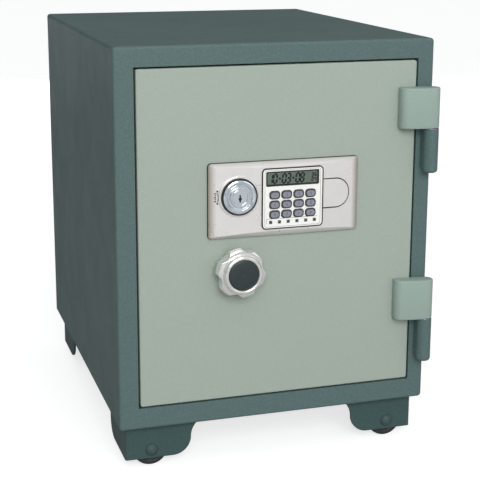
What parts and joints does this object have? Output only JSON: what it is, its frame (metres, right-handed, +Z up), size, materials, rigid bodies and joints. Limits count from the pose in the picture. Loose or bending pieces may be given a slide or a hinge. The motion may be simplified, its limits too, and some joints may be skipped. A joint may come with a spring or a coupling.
{
  "type": "fire-resistant safe",
  "caption": "Small floor-standing fire-resistant safe on wheeled feet, with an external-hinged door, keypad lock panel, key lock and lobed bolt knob.",
  "frame": {"origin": "on the floor, in the middle of the safe's width, halfway between the front of the knob and the back of the body", "axes": "+Z up, -Y towards the person facing the door, +X to that person's right, where the hinges are"},
  "size_m": [0.3525, 0.459, 0.458],
  "materials": {
    "body_paint": "satin",
    "foot_paint": "satin",
    "door_paint": "satin",
    "inner_paint": "satin",
    "fire_fill": "matte",
    "seal": "matte",
    "zinc": "satin",
    "steel": "satin",
    "chrome": "polished",
    "brass": "satin",
    "panel_silver": "satin",
    "black_plastic": "satin",
    "keys": "satin",
    "rubber_mat": "matte",
    "board": "satin",
    "window": "gloss",
    "display": "satin",
    "lights": "gloss",
    "cells": "gloss",
    "black_cap": "satin",
    "solenoid": "satin",
    "wheel_rubber": "satin"
  },
  "bodies": {
    "cabinet": {"outer_shell": "body_paint", "back_panel": "body_paint", "body_insulation": "fire_fill", "door_frame": "body_paint", "heat_seal": "seal", "inner_liner": "inner_paint", "bolt_keepers": "zinc", "hinge_barrels": "body_paint", "hinge_pins": "steel", "feet": "foot_paint", "foot_bolts": "zinc", "axle_bolts": "foot_paint", "axle_nuts": "zinc", "shelf_pegs": "zinc"},
    "door": {"door_skin": "door_paint", "plug_shell": "inner_paint", "door_insulation": "fire_fill", "mechanism_plate": "zinc", "door_inner_cover": "inner_paint", "cover_screws": "zinc", "hinge_straps": "door_paint", "lock_panel": "panel_silver", "keypad_frame": "panel_silver", "contact_mat": "rubber_mat", "circuit_board": "board", "display_window": "window", "display_panel": "display", "indicator_lights": "lights", "battery_holder": "black_plastic", "batteries": "cells", "lock_bezel": "chrome", "lock_cylinder": "brass", "spindle_bush": "brass", "solenoid": "solenoid"},
    "shelf": {"shelf": "inner_paint"},
    "knob": {"knob_skirt": "chrome", "knob_cap": "black_cap", "spindle": "steel"},
    "boltwork": {"bolt_bar": "zinc", "locking_bolts": "chrome"},
    "key_plug": {"lock_plug": "chrome", "lock_cam": "zinc"},
    "plunger": {"solenoid_plunger": "steel"},
    "battery_cover": {"battery_cover": "panel_silver"},
    "wheel_front_left": {"wheel_front_left": "wheel_rubber"},
    "wheel_front_right": {"wheel_front_right": "wheel_rubber"},
    "wheel_rear_left": {"wheel_rear_left": "wheel_rubber"},
    "wheel_rear_right": {"wheel_rear_right": "wheel_rubber"},
    "key_row1_col1": {"key_row1_col1": "keys"},
    "key_row1_col2": {"key_row1_col2": "keys"},
    "key_row1_col3": {"key_row1_col3": "keys"},
    "key_row1_col4": {"key_row1_col4": "keys"},
    "key_row2_col1": {"key_row2_col1": "keys"},
    "key_row2_col2": {"key_row2_col2": "keys"},
    "key_row2_col3": {"key_row2_col3": "keys"},
    "key_row2_col4": {"key_row2_col4": "keys"},
    "key_row3_col1": {"key_row3_col1": "keys"},
    "key_row3_col2": {"key_row3_col2": "keys"},
    "key_row3_col3": {"key_row3_col3": "keys"},
    "key_row3_col4": {"key_row3_col4": "keys"}
  },
  "joints": [
    {"name": "door_swing", "type": "hinge", "parent": "cabinet", "child": "door", "pos_m": [0.1695, -0.212, 0.05], "axis": [0, 0, 1], "range_deg": [0, 180]},
    {"name": "knob_turn", "type": "hinge", "parent": "door", "child": "knob", "pos_m": [-0.046, -0.2005, 0.22], "axis": [0, -1, 0], "range_deg": [0, 90]},
    {"name": "bolt_throw", "type": "slide", "parent": "door", "child": "boltwork", "axis": [-1, 0, 0], "range_m": [0, 0.01981]},
    {"name": "key_turn", "type": "hinge", "parent": "door", "child": "key_plug", "pos_m": [-0.046, -0.2005, 0.3], "axis": [0, -1, 0], "range_deg": [0, 90]},
    {"name": "plunger_drop", "type": "slide", "parent": "door", "child": "plunger", "axis": [0, 0, -1], "range_m": [0, 0.006], "stiffness_N_per_m": 60, "springref_m": -0.004},
    {"name": "battery_cover_pull", "type": "slide", "parent": "door", "child": "battery_cover", "axis": [0, -1, 0], "range_m": [0, 0.012]},
    {"name": "shelf_lift", "type": "slide", "parent": "cabinet", "child": "shelf", "axis": [0, 0, 1], "range_m": [0, 0.03]},
    {"name": "wheel_front_left_roll", "type": "hinge", "parent": "cabinet", "child": "wheel_front_left", "pos_m": [-0.138, -0.175, 0.02], "axis": [0, 1, 0], "continuous": true},
    {"name": "wheel_front_right_roll", "type": "hinge", "parent": "cabinet", "child": "wheel_front_right", "pos_m": [0.138, -0.175, 0.02], "axis": [0, 1, 0], "continuous": true},
    {"name": "wheel_rear_left_roll", "type": "hinge", "parent": "cabinet", "child": "wheel_rear_left", "pos_m": [-0.138, 0.204, 0.02], "axis": [0, 1, 0], "continuous": true},
    {"name": "wheel_rear_right_roll", "type": "hinge", "parent": "cabinet", "child": "wheel_rear_right", "pos_m": [0.138, 0.204, 0.02], "axis": [0, 1, 0], "continuous": true},
    {"name": "key_row1_col1_press", "type": "slide", "parent": "door", "child": "key_row1_col1", "axis": [0, 1, 0], "range_m": [0, 0.0008], "stiffness_N_per_m": 600, "springref_m": -0.0006},
    {"name": "key_row1_col2_press", "type": "slide", "parent": "door", "child": "key_row1_col2", "axis": [0, 1, 0], "range_m": [0, 0.0008], "stiffness_N_per_m": 600, "springref_m": -0.0006},
    {"name": "key_row1_col3_press", "type": "slide", "parent": "door", "child": "key_row1_col3", "axis": [0, 1, 0], "range_m": [0, 0.0008], "stiffness_N_per_m": 600, "springref_m": -0.0006},
    {"name": "key_row1_col4_press", "type": "slide", "parent": "door", "child": "key_row1_col4", "axis": [0, 1, 0], "range_m": [0, 0.0008], "stiffness_N_per_m": 600, "springref_m": -0.0006},
    {"name": "key_row2_col1_press", "type": "slide", "parent": "door", "child": "key_row2_col1", "axis": [0, 1, 0], "range_m": [0, 0.0008], "stiffness_N_per_m": 600, "springref_m": -0.0006},
    {"name": "key_row2_col2_press", "type": "slide", "parent": "door", "child": "key_row2_col2", "axis": [0, 1, 0], "range_m": [0, 0.0008], "stiffness_N_per_m": 600, "springref_m": -0.0006},
    {"name": "key_row2_col3_press", "type": "slide", "parent": "door", "child": "key_row2_col3", "axis": [0, 1, 0], "range_m": [0, 0.0008], "stiffness_N_per_m": 600, "springref_m": -0.0006},
    {"name": "key_row2_col4_press", "type": "slide", "parent": "door", "child": "key_row2_col4", "axis": [0, 1, 0], "range_m": [0, 0.0008], "stiffness_N_per_m": 600, "springref_m": -0.0006},
    {"name": "key_row3_col1_press", "type": "slide", "parent": "door", "child": "key_row3_col1", "axis": [0, 1, 0], "range_m": [0, 0.0008], "stiffness_N_per_m": 600, "springref_m": -0.0006},
    {"name": "key_row3_col2_press", "type": "slide", "parent": "door", "child": "key_row3_col2", "axis": [0, 1, 0], "range_m": [0, 0.0008], "stiffness_N_per_m": 600, "springref_m": -0.0006},
    {"name": "key_row3_col3_press", "type": "slide", "parent": "door", "child": "key_row3_col3", "axis": [0, 1, 0], "range_m": [0, 0.0008], "stiffness_N_per_m": 600, "springref_m": -0.0006},
    {"name": "key_row3_col4_press", "type": "slide", "parent": "door", "child": "key_row3_col4", "axis": [0, 1, 0], "range_m": [0, 0.0008], "stiffness_N_per_m": 600, "springref_m": -0.0006}
  ],
  "couplings": [
    {"joint": "bolt_throw", "follows": "knob_turn", "m_per_rad": 0.012604}
  ]
}
